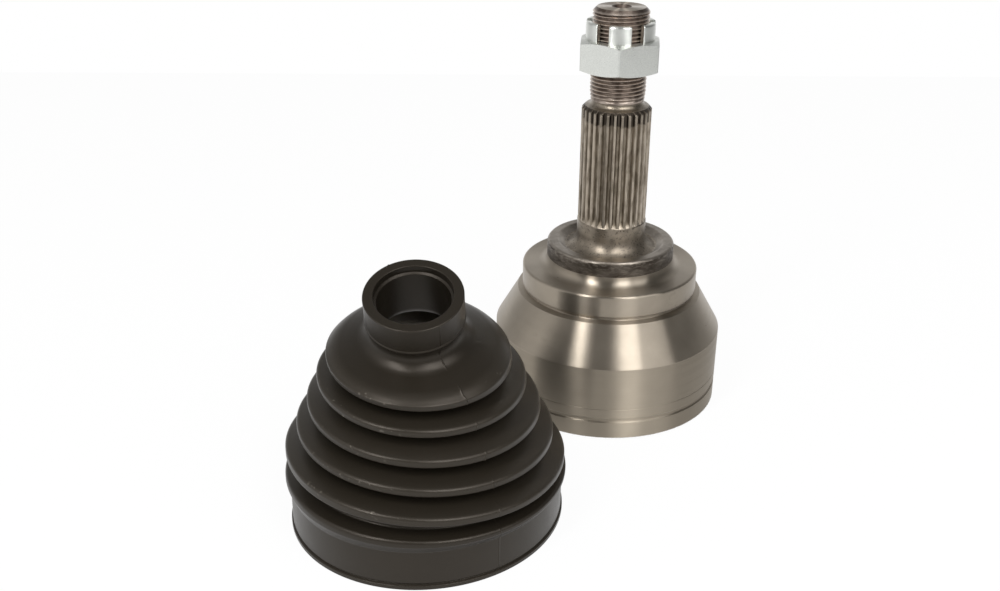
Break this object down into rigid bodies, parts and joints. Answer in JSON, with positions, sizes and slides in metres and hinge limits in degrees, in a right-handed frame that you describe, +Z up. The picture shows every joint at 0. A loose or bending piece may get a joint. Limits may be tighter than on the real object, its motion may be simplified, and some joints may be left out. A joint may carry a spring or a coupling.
{
  "type": "cv joint",
  "caption": "Outer constant-velocity joint with splined stub axle and castle nut, standing on its bell beside its loose bellows boot.",
  "frame": {"origin": "centre of the bell's open mouth, on the stub axle's axis", "axes": "+Z up the stub axle towards its threaded end; +X along the axis the joint bends about"},
  "size_m": [0.1693, 0.1899, 0.163],
  "materials": {
    "forged_steel": "turned and induction-hardened steel, bright with a light oil film",
    "bearing_steel": "ground bearing steel",
    "cage_steel": "case-hardened steel, dark grey",
    "spring_steel": "oil-blackened spring steel",
    "zinc_plate": "zinc-plated steel",
    "boot_rubber": "black chloroprene rubber, satin"
  },
  "bodies": {
    "housing": {"housing": "forged_steel"},
    "inner_race": {"inner_race": "bearing_steel", "race_ring": "spring_steel"},
    "cage": {"cage": "cage_steel"},
    "ball_1": {"ball_1": "bearing_steel"},
    "ball_2": {"ball_2": "bearing_steel"},
    "ball_3": {"ball_3": "bearing_steel"},
    "ball_4": {"ball_4": "bearing_steel"},
    "ball_5": {"ball_5": "bearing_steel"},
    "ball_6": {"ball_6": "bearing_steel"},
    "castle_nut": {"castle_nut": "zinc_plate"},
    "boot": {"boot": "boot_rubber"}
  },
  "joints": [
    {"name": "articulation", "type": "hinge", "parent": "housing", "child": "inner_race", "pos_m": [0, 0, 0.026], "axis": [1, 0, 0], "range_deg": [-45, 45]},
    {"name": "cage_tilt", "type": "hinge", "parent": "housing", "child": "cage", "pos_m": [0, 0, 0.026], "axis": [1, 0, 0], "range_deg": [-22.6, 22.6]},
    {"name": "ball_1_travel", "type": "hinge", "parent": "housing", "child": "ball_1", "pos_m": [0, 0, 0.022], "axis": [0.5, -0.866, 0], "range_deg": [-11.76, 11.76]},
    {"name": "ball_2_travel", "type": "hinge", "parent": "housing", "child": "ball_2", "pos_m": [0, 0, 0.022], "axis": [1, 0, 0], "range_deg": [-22.6, 22.6]},
    {"name": "ball_3_travel", "type": "hinge", "parent": "housing", "child": "ball_3", "pos_m": [0, 0, 0.022], "axis": [0.5, 0.866, 0], "range_deg": [-11.76, 11.76]},
    {"name": "ball_4_travel", "type": "hinge", "parent": "housing", "child": "ball_4", "pos_m": [0, 0, 0.022], "axis": [-0.5, 0.866, 0], "range_deg": [-11.76, 11.76]},
    {"name": "ball_5_travel", "type": "hinge", "parent": "housing", "child": "ball_5", "pos_m": [0, 0, 0.022], "axis": [-1, 0, 0], "range_deg": [-22.6, 22.6]},
    {"name": "ball_6_travel", "type": "hinge", "parent": "housing", "child": "ball_6", "pos_m": [0, 0, 0.022], "axis": [-0.5, -0.866, 0], "range_deg": [-11.76, 11.76]},
    {"name": "nut_turn", "type": "hinge", "parent": "housing", "child": "castle_nut", "pos_m": [0, 0, 0.149], "axis": [0, 0, 1], "continuous": true},
    {"name": "boot_lift", "type": "slide", "parent": "housing", "child": "boot", "axis": [0, 0, 1], "range_m": [0, 0.12]}
  ],
  "couplings": [
    {"joint": "cage_tilt", "follows": "articulation", "ratio": 0.5},
    {"joint": "ball_1_travel", "follows": "articulation", "ratio": 0.259},
    {"joint": "ball_2_travel", "follows": "articulation", "ratio": 0.5},
    {"joint": "ball_3_travel", "follows": "articulation", "ratio": 0.259},
    {"joint": "ball_4_travel", "follows": "articulation", "ratio": -0.259},
    {"joint": "ball_5_travel", "follows": "articulation", "ratio": -0.5},
    {"joint": "ball_6_travel", "follows": "articulation", "ratio": -0.259}
  ]
}
